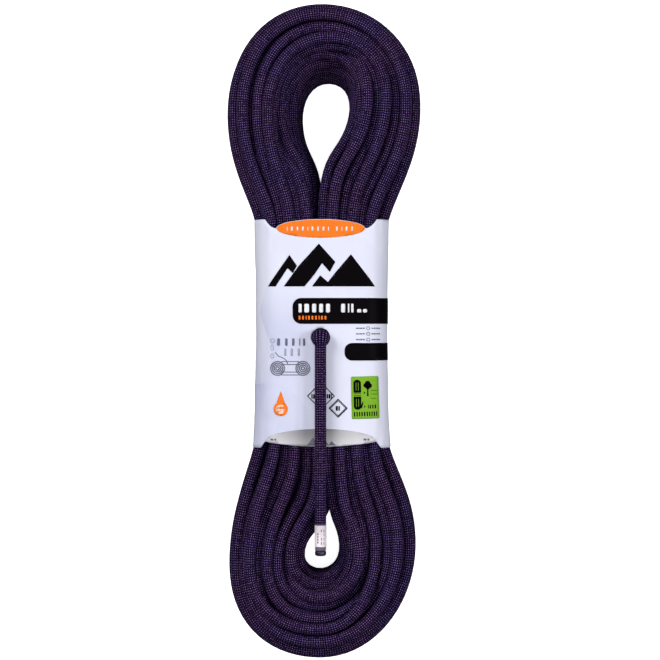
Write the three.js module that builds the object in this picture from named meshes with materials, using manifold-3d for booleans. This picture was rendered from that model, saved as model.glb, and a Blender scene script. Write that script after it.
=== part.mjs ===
// A new dynamic climbing rope as it is sold: one long rope wound into a flat figure-eight hank, held
// at the waist by a printed sleeve, with the working end drawn out through a hole in the sleeve.
//
// The hank lies on its back. X runs across it, Y along it and Z up from the surface it lies on.
// The origin is the middle of its underside. All sizes are in millimetres.

import * as THREE from 'three';
import { mergeVertices } from 'three/addons/utils/BufferGeometryUtils.js';
import Module from 'manifold-3d';

const wasm = await Module();
wasm.setup();

// ---------- driving dimensions ----------

const gap = 0.3; // clearance between pieces that touch on the real object
const film = 0.4; // thickness of the sleeve, its tape and its sticker

const rope = {
  diameter: 9.1,
  sheathWall: 1.05,
  outerStrands: 6,
  strandPitch: 62, // length in which a core strand winds once round the middle one
  neckDepth: 0.25, // how far the shrunk sleeve squeezes the sheath, on the radius
};

const hank = {
  length: 532,
  thickness: 86,
  edgeRound: 24, // radius of the long edges, where the bundle turns from its face to its side
};

// A loop's legs stand either side of its eye. The crown is the rope beyond the eye's end.
const upperLoop = {
  leg: 61.2,
  crown: 65,
  eyeWidth: 35.4,
  eyeHeight: 78,
  eyeShift: 1.2,
  sway: 0,
};

const lowerLoop = {
  leg: 61.8,
  crown: 71,
  eyeWidth: 28.8,
  eyeHeight: 48,
  eyeShift: -1.5,
  sway: -1.2,
};

const waist = {
  width: 106,
  centre: -1.7,
  topWidth: 108.6,
  bottomWidth: 111.5,
};

const sleeve = {
  top: 88.5,
  bottom: -93.7,
  inset: 1.8, // how far the drawn-in waist lies inside the loops' surface
  tongueWidth: 71, // the raised tongue in the middle of the top edge
  tongueRise: 7.5,
  notchWidth: 9,
  archInset: 9, // how far in from each corner the bottom arch starts
  archRise: 5,
  archSag: 4,
  seamOffset: -22, // where the back seam runs
  tapeWidth: 16,
};

const sticker = {
  width: 22.8,
  height: 34,
  x: 33.2,
  y: -53.4,
  tilt: 1.2, // degrees
};

const tail = {
  x: -2.7,
  y: -5.7,
  holeDiameter: 15.2,
  knuckleDiameter: 14.6,
  length: 173, // from the hole's centre to the fused tip
  riserFoot: 42,
};

const ropeEnd = {
  tip: 4.5, // length of the fused tip
  sleeve: 21,
  label: 17.1,
  labelWall: 0.3,
  sleeveWall: 0.3,
  fit: 0.1, // room between the sheath, its label and the shrunk sleeve
};

const innerEnd = {
  strand: 96,
  y: 62, // where its fused tip points to, along +Y
  z: 24,
};

const colours = {
  rope: 0x2a1c40,
  core: 0xe9e6df,
  sleeve: 0xdfe1f2,
  tape: 0xd8d4c4,
  sticker: 0x86c232,
  label: 0xf2f2f4,
  shrink: 0xb8b4c4,
  tip: 0x17131f,
};

// ---------- derived places ----------

const hankTop = hank.length / 2;
const hankBottom = -hank.length / 2;
const upperHalf = upperLoop.leg + upperLoop.eyeWidth / 2;
const lowerHalf = lowerLoop.leg + lowerLoop.eyeWidth / 2;
const midHeight = hank.thickness / 2;
const ropeRadius = rope.diameter / 2;
const sheathBore = ropeRadius - rope.sheathWall;
const strandDiameter = (sheathBore - 2 * gap) / 1.5; // seven strands fill the bore, one in the middle
const neckRadius = ropeRadius - rope.neckDepth;
const labelInner = neckRadius + ropeEnd.fit;
const sleeveInner = labelInner + ropeEnd.labelWall + ropeEnd.fit;
const sleeveOuter = sleeveInner + ropeEnd.sleeveWall;
const endRadius = Math.max(ropeRadius, sleeveOuter);
const waistSlot = 2 * (endRadius + gap); // between the waist's two halves, where the rope's ends run
const tailAxis = hank.thickness + endRadius + gap;
const tailTip = tail.y - tail.length;
const far = 2 * hank.length; // longer than any cut

// ---------- solids ----------

function toSolid(geometry) {
  const bare = geometry.clone();
  bare.deleteAttribute('normal');
  bare.deleteAttribute('uv');
  const merged = mergeVertices(bare);
  return new wasm.Manifold(new wasm.Mesh({
    numProp: 3,
    vertProperties: new Float32Array(merged.attributes.position.array),
    triVerts: new Uint32Array(merged.index.array),
  }));
}

function toGeometry(solid) {
  const mesh = solid.getMesh();
  const geometry = new THREE.BufferGeometry();
  geometry.setAttribute('position', new THREE.BufferAttribute(new Float32Array(mesh.vertProperties), 3));
  geometry.setIndex(new THREE.BufferAttribute(new Uint32Array(mesh.triVerts), 1));
  geometry.computeVertexNormals();
  return geometry;
}

function piece(name, geometry, color, roughness) {
  const material = new THREE.MeshStandardMaterial({ color, roughness, metalness: 0 });
  const mesh = new THREE.Mesh(geometry, material);
  mesh.name = name;
  return mesh;
}

// A box between two corners.
function block(low, high) {
  const size = new THREE.Vector3().subVectors(high, low);
  const middle = new THREE.Vector3().addVectors(low, high).multiplyScalar(0.5);
  const geometry = new THREE.BoxGeometry(size.x, size.y, size.z);
  geometry.translate(middle.x, middle.y, middle.z);
  return toSolid(geometry);
}

// A flat shape raised along Z between two heights.
function raised(shape, bottom, top, curveSegments = 8) {
  const settings = { depth: top - bottom, bevelEnabled: false, curveSegments };
  const geometry = new THREE.ExtrudeGeometry(shape, settings);
  geometry.translate(0, 0, bottom);
  return toSolid(geometry);
}

// A profile of (radius, length) points turned about a line along -Y, starting at start.
function turnedAlongY(profile, start, segments = 20) {
  const points = profile.map(([radius, along]) => new THREE.Vector2(radius, along));
  const geometry = new THREE.LatheGeometry(points, segments);
  geometry.scale(1, -1, 1);
  const index = geometry.index.array;
  for (let i = 0; i < index.length; i += 3) {
    [index[i], index[i + 1]] = [index[i + 1], index[i]];
  }
  geometry.translate(start.x, start.y, start.z);
  return geometry;
}

// ---------- the hank's outline ----------

// A closed outline through a few anchors. Each has a place, a heading in degrees, and the lengths of
// its two handles: the one that arrives and the one that leaves.
function smoothOutline(path, anchors) {
  const handle = ({ x, y, heading }, length) => {
    const angle = THREE.MathUtils.degToRad(heading);
    return [x + length * Math.cos(angle), y + length * Math.sin(angle)];
  };
  path.moveTo(anchors[0].x, anchors[0].y);
  anchors.forEach((from, i) => {
    const to = anchors[(i + 1) % anchors.length];
    path.bezierCurveTo(...handle(from, from.leave), ...handle(to, -to.arrive), to.x, to.y);
  });
  return path;
}

function loopEye(loop, eyeEnd, sign) {
  const x = loop.sway + loop.eyeShift;
  const half = loop.eyeWidth / 2;
  const tip = eyeEnd - sign * loop.eyeHeight;
  const widest = eyeEnd - sign * loop.eyeHeight * 0.34;
  const round = half * 0.6;
  const reach = loop.eyeHeight * 0.3;
  const turn = sign > 0 ? 90 : 270;
  return smoothOutline(new THREE.Path(), [
    { x, y: eyeEnd, heading: turn + 90, arrive: round, leave: round },
    { x: x - sign * half, y: widest, heading: turn + 180, arrive: round, leave: reach },
    { x, y: tip, heading: turn - 90, arrive: 2, leave: 2 },
    { x: x + sign * half, y: widest, heading: turn, arrive: reach, leave: round },
  ]);
}

function hankShape() {
  const top = waist.topWidth / 2;
  const bottom = waist.bottomWidth / 2;
  const upperMiddle = hankTop - upperHalf - 4;
  const lowerMiddle = hankBottom + lowerHalf + 8;
  const rightFoot = lowerLoop.sway + lowerHalf;
  const leftFoot = lowerLoop.sway - lowerHalf;
  const bend = 22;
  const shape = smoothOutline(new THREE.Shape(), [
    { x: lowerLoop.sway - 2, y: hankBottom, heading: 0, arrive: 42, leave: 42 },
    { x: rightFoot, y: lowerMiddle + 3, heading: 90, arrive: 48, leave: 38 },
    { x: waist.centre + bottom, y: sleeve.bottom, heading: 105, arrive: bend, leave: bend },
    { x: waist.centre + waist.width / 2, y: 0, heading: 90, arrive: 40, leave: 40 },
    { x: waist.centre + top, y: sleeve.top, heading: 75, arrive: bend, leave: bend },
    { x: upperLoop.sway + upperHalf, y: upperMiddle, heading: 90, arrive: 42, leave: 46 },
    { x: upperLoop.sway - 2, y: hankTop, heading: 180, arrive: 44, leave: 42 },
    { x: upperLoop.sway - upperHalf, y: upperMiddle - 4, heading: 270, arrive: 48, leave: 40 },
    { x: waist.centre - top, y: sleeve.top, heading: 285, arrive: bend, leave: bend },
    { x: waist.centre - waist.width / 2, y: 0, heading: 270, arrive: 40, leave: 40 },
    { x: waist.centre - bottom, y: sleeve.bottom, heading: 255, arrive: bend, leave: bend },
    { x: leftFoot, y: lowerMiddle - 8, heading: 270, arrive: 42, leave: 44 },
  ]);
  shape.holes.push(loopEye(upperLoop, hankTop - upperLoop.crown, 1));
  shape.holes.push(loopEye(lowerLoop, hankBottom + lowerLoop.crown, -1));
  return shape;
}

// The whole bundle, with its surface moved in by inset everywhere. Surfaces of different inset are
// parallel, so a sheet wrapped round the bundle is one of them less the next.
function bundle(inset) {
  const round = hank.edgeRound - inset;
  const geometry = new THREE.ExtrudeGeometry(hankShape(), {
    depth: hank.thickness - 2 * hank.edgeRound,
    bevelThickness: round,
    bevelSize: round,
    bevelOffset: -hank.edgeRound,
    bevelSegments: 4,
    curveSegments: 6,
  });
  geometry.translate(0, 0, hank.edgeRound);
  return toSolid(geometry);
}

// A sheet of the film's thickness that follows the bundle, its inner face at the given inset.
function wrappedSheet(inset) {
  return bundle(inset - film).subtract(bundle(inset));
}

// ---------- pieces ----------

function hankPieces() {
  const corner = (x, y, z) => new THREE.Vector3(x, y, z);
  const loops = bundle(0);
  const upper = loops.intersect(block(corner(-far, sleeve.top + gap, -far), corner(far, far, far)));
  const lower = loops.intersect(block(corner(-far, -far, -far), corner(far, sleeve.bottom - gap, far)));

  const core = bundle(sleeve.inset + film + gap);
  const left = block(
    corner(-far, sleeve.bottom, -far),
    corner(tail.x - waistSlot / 2, sleeve.top, far),
  );
  const right = block(
    corner(tail.x + waistSlot / 2, sleeve.bottom, -far),
    corner(far, sleeve.top, far),
  );
  return [
    piece('hank_upper_loop', toGeometry(upper), colours.rope, 0.8),
    piece('hank_lower_loop', toGeometry(lower), colours.rope, 0.8),
    piece('hank_waist_left', toGeometry(core.intersect(left)), colours.rope, 0.8),
    piece('hank_waist_right', toGeometry(core.intersect(right)), colours.rope, 0.8),
  ];
}

// The sleeve's die-cut outline, seen from above: a tongue and two notches in its top edge, and an arch
// with a sagging edge in its bottom one.
function sleeveOutline() {
  const middle = waist.centre - 1;
  const tongue = sleeve.tongueWidth / 2;
  const shoulder = sleeve.top - sleeve.tongueRise;
  const notch = tongue + sleeve.notchWidth;
  const arch = waist.bottomWidth / 2 - sleeve.archInset;
  const step = 4;
  const shape = new THREE.Shape();
  shape.moveTo(-far, sleeve.bottom);
  shape.lineTo(middle - arch - step, sleeve.bottom);
  shape.lineTo(middle - arch, sleeve.bottom + sleeve.archRise);
  shape.quadraticCurveTo(
    middle, sleeve.bottom + sleeve.archRise - 2 * sleeve.archSag,
    middle + arch, sleeve.bottom + sleeve.archRise,
  );
  shape.lineTo(middle + arch + step, sleeve.bottom);
  shape.lineTo(far, sleeve.bottom);
  shape.lineTo(far, sleeve.top);
  shape.lineTo(middle + notch, sleeve.top);
  shape.quadraticCurveTo(middle + notch - step, shoulder, middle + tongue, shoulder);
  shape.absellipse(middle, shoulder, tongue, sleeve.tongueRise, 0, Math.PI, false, 0);
  shape.quadraticCurveTo(middle - notch + step, shoulder, middle - notch, sleeve.top);
  shape.lineTo(-far, sleeve.top);
  shape.closePath();
  return shape;
}

function sleevePieces() {
  const cut = raised(sleeveOutline(), -far, far);
  const drill = new THREE.CylinderGeometry(tail.holeDiameter / 2, tail.holeDiameter / 2, midHeight, 28);
  drill.rotateX(Math.PI / 2);
  drill.translate(tail.x, tail.y, hank.thickness);
  const seam = block(
    new THREE.Vector3(sleeve.seamOffset - gap / 2, -far, -far),
    new THREE.Vector3(sleeve.seamOffset + gap / 2, far, midHeight),
  );
  const sheet = wrappedSheet(sleeve.inset + film).intersect(cut).subtract(toSolid(drill)).subtract(seam);

  const overlay = wrappedSheet(sleeve.inset - gap);
  const tapeStrip = block(
    new THREE.Vector3(sleeve.seamOffset - sleeve.tapeWidth / 2, sleeve.bottom + 2 * gap, -far),
    new THREE.Vector3(sleeve.seamOffset + sleeve.tapeWidth / 2, sleeve.top - 2 * gap, midHeight),
  );

  const face = new THREE.BoxGeometry(sticker.width, sticker.height, midHeight);
  face.rotateZ(THREE.MathUtils.degToRad(sticker.tilt));
  face.translate(sticker.x, sticker.y, hank.thickness);
  return [
    piece('wrap_sheet', toGeometry(sheet), colours.sleeve, 0.45),
    piece('wrap_seam_tape', toGeometry(overlay.intersect(tapeStrip)), colours.tape, 0.5),
    piece('recycling_sticker', toGeometry(overlay.intersect(toSolid(face))), colours.sticker, 0.45),
  ];
}

// One rope end, pointing along -Y, with its label and shrunk sleeve. start is where its stretch
// begins on its centreline, and length runs from there to the fused tip's end.
function ropeEndPieces(prefix, start, length, hollow) {
  const sheathEnd = length - ropeEnd.tip;
  const neck = sheathEnd - ropeEnd.sleeve;
  const body = [
    [ropeRadius, 0],
    [ropeRadius, neck - gap],
    [neckRadius, neck],
    [neckRadius, sheathEnd],
  ];
  const profile = hollow
    ? [[sheathBore, 0], ...body, [sheathBore, sheathEnd], [sheathBore, 0]]
    : [[0, 0], ...body, [0, sheathEnd]];
  const ring = (inner, wall, from, to) => {
    return [[inner, from], [inner + wall, from], [inner + wall, to], [inner, to], [inner, from]];
  };
  const labelStart = sheathEnd - ropeEnd.sleeve + 1;
  const tipStart = sheathEnd + gap;
  const tip = [
    [0, tipStart],
    [ropeRadius * 0.94, tipStart],
    [ropeRadius, tipStart + 0.5],
    [ropeRadius, length - 1.6],
    [ropeRadius * 0.8, length - 0.4],
    [ropeRadius * 0.5, length],
    [0, length],
  ];
  const label = ring(labelInner, ropeEnd.labelWall, labelStart, labelStart + ropeEnd.label);
  const shrunk = ring(sleeveInner, ropeEnd.sleeveWall, neck, sheathEnd);
  const sheathName = hollow ? `${prefix}_sheath` : `${prefix}_strand`;
  return [
    piece(sheathName, turnedAlongY(profile, start), colours.rope, 0.8),
    piece(`${prefix}_end_label`, turnedAlongY(label, start), colours.label, 0.4),
    piece(`${prefix}_end_sleeve`, turnedAlongY(shrunk, start), colours.shrink, 0.2),
    piece(`${prefix}_fused_tip`, turnedAlongY(tip, start), colours.tip, 0.35),
  ];
}

// A core strand's centreline inside the tail: straight on the axis, or winding round it.
class StrandCurve extends THREE.Curve {
  constructor(start, length, offset, phase) {
    super();
    Object.assign(this, { start, length, offset, phase });
  }

  getPoint(t, target = new THREE.Vector3()) {
    const angle = this.phase + (2 * Math.PI * t * this.length) / rope.strandPitch;
    return target.set(
      this.start.x + this.offset * Math.cos(angle),
      this.start.y - t * this.length,
      this.start.z + this.offset * Math.sin(angle),
    );
  }
}

function coreStrands(start, length) {
  const section = new THREE.Shape();
  section.absarc(0, 0, strandDiameter / 2, 0, 2 * Math.PI, false);
  const strand = (number, offset, phase, steps) => {
    const extrudePath = new StrandCurve(start, length, offset, phase);
    const geometry = new THREE.ExtrudeGeometry(section, { extrudePath, steps, curveSegments: 4 });
    return piece(`core_strand_${number}`, toGeometry(toSolid(geometry)), colours.core, 0.7);
  };
  const ring = strandDiameter + gap;
  const outer = Array.from({ length: rope.outerStrands }, (_, i) => {
    return strand(i + 2, ring, (2 * Math.PI * i) / rope.outerStrands, 30);
  });
  return [strand(1, 0, 0, 2), ...outer];
}

function tailPieces() {
  const knuckleRadius = tail.knuckleDiameter / 2;
  const knuckle = new THREE.SphereGeometry(knuckleRadius, 20, 14);
  knuckle.translate(tail.x, tail.y, tailAxis);

  const riserTop = tailAxis - knuckleRadius - gap;
  const riserHeight = riserTop - tail.riserFoot;
  const riser = new THREE.CylinderGeometry(ropeRadius, ropeRadius, riserHeight, 16);
  riser.rotateX(Math.PI / 2);
  riser.translate(tail.x, tail.y, tail.riserFoot + riserHeight / 2);

  const start = new THREE.Vector3(tail.x, tail.y - knuckleRadius - gap, tailAxis);
  const length = start.y - tailTip;
  const coreStart = new THREE.Vector3(start.x, start.y - gap, start.z);
  return [
    piece('tail_riser', riser, colours.rope, 0.8),
    piece('tail_knuckle', knuckle, colours.rope, 0.8),
    ...ropeEndPieces('tail', start, length, true),
    ...coreStrands(coreStart, length - ropeEnd.tip - 2 * gap),
  ];
}

// The rope's other end stays inside the waist, between the two halves, pointing the other way.
function innerEndPieces() {
  const start = new THREE.Vector3(0, 0, 0);
  const pieces = ropeEndPieces('inner', start, innerEnd.strand, false);
  const group = new THREE.Group();
  group.add(...pieces);
  group.rotation.z = Math.PI;
  group.position.set(tail.x, innerEnd.y - innerEnd.strand, innerEnd.z);
  return group;
}

// ---------- assembly ----------

const climbingRope = new THREE.Group();
climbingRope.add(...hankPieces());
climbingRope.add(...sleevePieces());
climbingRope.add(...tailPieces());
climbingRope.add(innerEndPieces());

export default climbingRope;
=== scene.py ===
# %% [markdown]
# # A new climbing rope in its hank
#
# A shop sells a climbing rope wound into a long flat hank. Fifty metres of rope go round and round in
# two end loops, a printed sleeve pinches them at the waist, and one end comes out through a hole.
# The CAD frame already holds the size of each part, so everything here is measured from it.

# %% Load the frame
import math

import bmesh
import bpy
import numpy as np
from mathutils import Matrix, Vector, noise
from mathutils.kdtree import KDTree


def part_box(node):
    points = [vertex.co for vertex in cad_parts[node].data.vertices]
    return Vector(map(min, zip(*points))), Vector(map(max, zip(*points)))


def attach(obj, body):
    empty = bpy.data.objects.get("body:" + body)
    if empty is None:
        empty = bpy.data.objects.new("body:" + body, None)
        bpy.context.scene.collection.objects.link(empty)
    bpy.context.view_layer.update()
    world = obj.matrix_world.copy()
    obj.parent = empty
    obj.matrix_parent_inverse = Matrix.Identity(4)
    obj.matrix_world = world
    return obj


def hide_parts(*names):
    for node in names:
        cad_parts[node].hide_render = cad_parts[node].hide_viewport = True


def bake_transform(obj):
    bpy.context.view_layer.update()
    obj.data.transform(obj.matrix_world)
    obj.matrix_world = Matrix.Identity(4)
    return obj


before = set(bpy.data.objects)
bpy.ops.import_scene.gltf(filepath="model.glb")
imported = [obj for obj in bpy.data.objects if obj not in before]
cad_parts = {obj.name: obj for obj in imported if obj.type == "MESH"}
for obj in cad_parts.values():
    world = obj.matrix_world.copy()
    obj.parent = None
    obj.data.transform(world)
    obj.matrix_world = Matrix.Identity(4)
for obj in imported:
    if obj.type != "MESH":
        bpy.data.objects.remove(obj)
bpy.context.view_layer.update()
MM = 0.001


def box_mm(node):
    """A CAD node's lowest and highest corners, in millimetres."""
    low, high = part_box(node)
    return np.array(low) / MM, np.array(high) / MM


def add_object(name, data):
    """Makes an object of the data and puts it in the scene."""
    made = bpy.data.objects.new(name, data)
    bpy.context.scene.collection.objects.link(made)
    return made


def mesh_object(name, mesh, material=None):
    """Turns a finished bmesh, in metres, into an object in the scene."""
    data = bpy.data.meshes.new(name)
    mesh.to_mesh(data)
    mesh.free()
    if material:
        data.materials.append(material)
    return add_object(name, data)


upper_low, upper_high = box_mm("hank_upper_loop")
lower_low, lower_high = box_mm("hank_lower_loop")
sheet_low, sheet_high = box_mm("wrap_sheet")
knuckle_low, knuckle_high = box_mm("tail_knuckle")
riser_low, riser_high = box_mm("tail_riser")
tube_low, tube_high = box_mm("tail_end_sleeve")
tape_low, tape_high = box_mm("wrap_seam_tape")

HANK_HEIGHT = upper_high[2]
ROPE_RADIUS = (riser_high[0] - riser_low[0]) / 2
ROPE_DIAMETER = 2 * ROPE_RADIUS
HOLE = (knuckle_low + knuckle_high) / 2
print("rope", round(ROPE_DIAMETER, 2), "mm, hank", np.round(upper_high - lower_low, 1))

# %% [markdown]
# ## Camera, floor and lights
#
# The rope lies on a pale floor and the camera looks straight down on it from high up, with a long
# lens, so that the two loops keep their true shapes. A long lens from far away shows just a little of
# the walls of the two eyes. Big soft lights from both sides keep the shadows gentle, and a floor that
# gives a little light of its own stays close to white.

# %% Camera
FRAME_WIDTH = 537.9 * MM
CAMERA_DISTANCE = 1.70
CAMERA_AIM = Vector((4.8 * MM, 0.3 * MM, HANK_HEIGHT / 2 * MM))

camera_data = bpy.data.cameras.new("camera")
camera_data.sensor_width = 36
camera_data.lens = camera_data.sensor_width * CAMERA_DISTANCE / FRAME_WIDTH
camera = add_object("camera", camera_data)
camera.location = CAMERA_AIM + Vector((0, 0, CAMERA_DISTANCE))
bpy.context.scene.camera = camera
bpy.context.scene.view_settings.view_transform = "Standard"
print("lens", round(camera_data.lens, 1), "mm")


# %% Lights
def soft_light(name, place, size, power):
    """A square white area light that faces the hank's middle. Metres and watts."""
    data = bpy.data.lights.new(name, "AREA")
    data.size = size
    data.energy = power
    light = add_object(name, data)
    light.location = place
    light.rotation_euler = (CAMERA_AIM - light.location).to_track_quat("-Z", "Y").to_euler()


soft_light("key_light", Vector((-1.5, 1.2, 1.85)), 1.35, 49)
soft_light("top_light", Vector((0.25, -0.6, 2.6)), 0.9, 20)
soft_light("right_light", Vector((1.9, 0.2, 1.6)), 0.8, 27)

world = bpy.data.worlds.new("studio")
world.use_nodes = True
sky = world.node_tree.nodes["Background"]
sky.inputs["Color"].default_value = (1, 1, 1, 1)
sky.inputs["Strength"].default_value = 0.11
bpy.context.scene.world = world

# %% [markdown]
# ## Writing materials as sums
#
# A material in Blender is a graph of nodes, and sums in a graph are hard to read. So one small class
# wraps a node's output, and Python's own signs on it add Math nodes. Then a pattern reads like the
# formula that it is. Any other node comes from one method, which sets the node up and plugs it in.


# %% A socket that can be added and multiplied
class Value:
    """One output of a node. Signs such as + and * on it add Math nodes."""

    def __init__(self, maker, socket):
        self.maker = maker
        self.socket = socket

    def math(self, operation, *others):
        return self.maker.node("ShaderNodeMath", {"operation": operation}, [self, *others])

    def __add__(self, other):
        return self.math("ADD", other)

    def __sub__(self, other):
        return self.math("SUBTRACT", other)

    def __rsub__(self, other):
        return self.maker.node("ShaderNodeMath", {"operation": "SUBTRACT"}, [other, self])

    def __mul__(self, other):
        return self.math("MULTIPLY", other)

    def __truediv__(self, other):
        return self.math("DIVIDE", other)

    def __mod__(self, other):
        return self.math("FLOORED_MODULO", other)

    def __lt__(self, other):
        return self.math("LESS_THAN", other)

    __radd__ = __add__
    __rmul__ = __mul__


class Maker:
    """Makes one material's nodes."""

    def __init__(self, name, **settings):
        self.material = bpy.data.materials.new(name)
        self.material.use_nodes = True
        self.tree = self.material.node_tree
        self.shader = self.tree.nodes["Principled BSDF"]
        self.set(**settings)

    def set(self, **settings):
        """Puts numbers or links on the shader's own sockets. base_color stands for Base Color."""
        for name, value in settings.items():
            self.plug(self.shader.inputs[name.replace("_", " ").title().replace("Ior", "IOR")], value)

    def plug(self, socket, value):
        if isinstance(value, Value):
            self.tree.links.new(value.socket, socket)
        elif isinstance(value, (tuple, list)) and socket.type == "RGBA":
            socket.default_value = (*value, 1) if len(value) == 3 else value
        else:
            socket.default_value = value

    def node(self, kind, settings=None, inputs=(), output=0):
        made = self.tree.nodes.new(kind)
        for name, value in (settings or {}).items():
            setattr(made, name, value)
        pairs = inputs.items() if isinstance(inputs, dict) else enumerate(inputs)
        for key, value in pairs:
            self.plug(made.inputs[key], value)
        return Value(self, made.outputs[output])

    def object_place(self):
        return self.node("ShaderNodeTexCoord", output="Object")

    def parts(self, vector):
        split = self.node("ShaderNodeSeparateXYZ", inputs=[vector])
        return [Value(self, out) for out in split.socket.node.outputs]

    def noise(self, vector, scale, detail=2.0):
        inputs = {"Vector": vector, "Scale": scale, "Detail": detail}
        return self.node("ShaderNodeTexNoise", inputs=inputs)

    def mix(self, factor, first, second):
        settings = {"data_type": "RGBA"}
        return self.node("ShaderNodeMix", settings, {0: factor, 6: first, 7: second}, output=2)

    def smooth(self, value, low, high):
        """0 below low, 1 above high, and a smooth ramp between."""
        settings = {"interpolation_type": "SMOOTHSTEP"}
        return self.node("ShaderNodeMapRange", settings, [value, low, high, 0.0, 1.0])

    def bump(self, height, strength, distance):
        inputs = {"Height": height, "Strength": strength, "Distance": distance}
        self.set(normal=self.node("ShaderNodeBump", inputs=inputs))


def srgb(red, green, blue):
    """A colour written as screen values from 0 to 255, turned into the linear values of a shader."""
    def linear(v):
        v /= 255
        return v / 12.92 if v <= 0.04045 else ((v + 0.055) / 1.055) ** 2.4

    return (linear(red), linear(green), linear(blue))


print("material maker ready")

# %% [markdown]
# ## The floor
#
# The floor is one plain sheet. Its own light would
# brighten the hank's sides from below, so the floor is hidden from the rays that carry such light.

# %% Floor
floor_maker = Maker("pale_floor", base_color=(0.93, 0.93, 0.93), roughness=0.9)
floor_maker.set(emission_color=(1, 1, 1), emission_strength=0.95)
floor_mesh = bmesh.new()
bmesh.ops.create_grid(floor_mesh, x_segments=1, y_segments=1, size=3)
floor = mesh_object("floor", floor_mesh, floor_maker.material)
floor.visible_diffuse = False
floor.visible_glossy = False
print("floor", round(floor.dimensions.x, 1), "m wide")

# %% [markdown]
# ## The rope's lanes
#
# Each turn of rope is a closed curve that goes up the left leg, round the upper loop, down the right
# leg and round the lower loop. Two guide curves hold them all: the innermost turn hugs the two eyes,
# and the outermost one follows the hank's outline. Both are drawn through the same twelve anchors, each
# with a place, a heading and two handles. A lane in between is then simply a mix of the two.

# %% Guide curves
TOP = upper_high[1] - ROPE_RADIUS - 1.6
BOTTOM = lower_low[1] + ROPE_RADIUS
UPPER_WEST = upper_low[0] + ROPE_RADIUS
UPPER_EAST = upper_high[0] - ROPE_RADIUS
LOWER_WEST = lower_low[0] + ROPE_RADIUS
LOWER_EAST = lower_high[0] - ROPE_RADIUS
WAIST_X = -2.0
# Under the sleeve the innermost turn's two legs nearly touch.
LEFT, RIGHT = WAIST_X - 4.7, WAIST_X + 4.7

# Each anchor: where the outer turn passes, then the inner one, as x, y, heading in degrees, and the
# lengths of the handle that arrives and the one that leaves. Millimetres.
ANCHORS = [
    ((WAIST_X - 48.0, 0, 90, 30, 30), (LEFT, 0, 90, 30, 30)),
    ((WAIST_X - 50.0, 88, 104, 24, 22), (LEFT - 0.9, 132, 106, 34, 13)),
    ((UPPER_WEST, 176, 90, 42, 50), (-19.4, 176, 90, 28, 17)),
    ((-2.0, TOP, 0, 42, 44), (2.4, 206.6, 0, 13, 14)),
    ((UPPER_EAST, 182, -90, 46, 44), (23.6, 185, -90, 14, 30)),
    ((WAIST_X + 50.0, 88, -104, 22, 24), (RIGHT + 0.9, 132, -107, 13, 34)),
    ((WAIST_X + 48.0, 0, -90, 30, 30), (RIGHT, 0, -90, 30, 30)),
    ((WAIST_X + 50.6, -95, -75, 24, 22), (RIGHT + 5.6, -147, -80, 30, 6)),
    ((LOWER_EAST, -174, -90, 38, 46), (17.4, -178, -90, 15, 12)),
    ((-3.5, BOTTOM, 180, 42, 42), (-2.4, -199.6, 180, 9, 9)),
    ((LOWER_WEST, -190, 90, 44, 42), (-21.2, -183, 90, 12, 16)),
    ((WAIST_X - 50.6, -95, 75, 22, 24), (LEFT + 5.4, -149, 62, 10, 30)),
]
# How far a turn may stray from its lane at each anchor: not at all under the sleeve.
SLACK = np.array([0, 0.2, 0.9, 1, 0.9, 0.2, 0, 0.25, 1, 1, 1, 0.25])


def bezier(t, a, b, c, d):
    """Points on the curve that leaves a towards b and arrives at d from c, for shares t of its way."""
    return (1 - t) ** 3 * a + 3 * (1 - t) ** 2 * t * b + 3 * (1 - t) * t * t * c + t**3 * d


def handle_points(anchor):
    """The arriving handle's end, the anchor and the leaving handle's end."""
    x, y, heading, arrive, leave = anchor
    way = np.array([math.cos(math.radians(heading)), math.sin(math.radians(heading))])
    place = np.array([x, y], float)
    return [place - arrive * way, place, place + leave * way]


OUTER = np.array([handle_points(outer) for outer, _ in ANCHORS])
INNER = np.array([handle_points(inner) for _, inner in ANCHORS])
print("guide curves through", len(ANCHORS), "anchors")

# %% [markdown]
# ## Winding the rope
#
# The hank is wound in layers from the eyes outwards, and each layer holds a few turns one above the
# other. A turn keeps to its lane for most of the way round and moves over to the next lane in the lower
# loop. Real turns wander, so each one strays a little from its lane, by seeded random amounts.

# %% Turns and lanes
LAYER_TURNS = [6, 7, 7, 7, 7, 7, 6]
LAYER_ORDER = [0, 1, 3, 5, 6, 4, 2, 0]
# Seven turns stand six steps high, and every layer is shifted by a quarter of a step, up or down.
TURN_SPACING = (HANK_HEIGHT - ROPE_DIAMETER - 1) / 6.5
BAND_WIDTH = 55
HALF_RISE = HANK_HEIGHT / 2 - ROPE_RADIUS
# How far, in mm, the inner and the outer turns draw back at the hank's two faces, at each anchor. This
# rounds the hank's edges.
INNER_DRAW = np.array([0, 2, 6, 6, 6, 2, 0, 2, 9, 10, 9, 2])
OUTER_DRAW = np.array([0, 3, 9, 8, 11, 3, 0, 3, 10, 8, 9, 3])
# How far the upper eye's wall leans away from the eye, from the hank's back to its front.
WALL_LEAN = np.array([0, 9, 16, 20, 3, 0, 0, 0, 0, 3, 0, 0])
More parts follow.
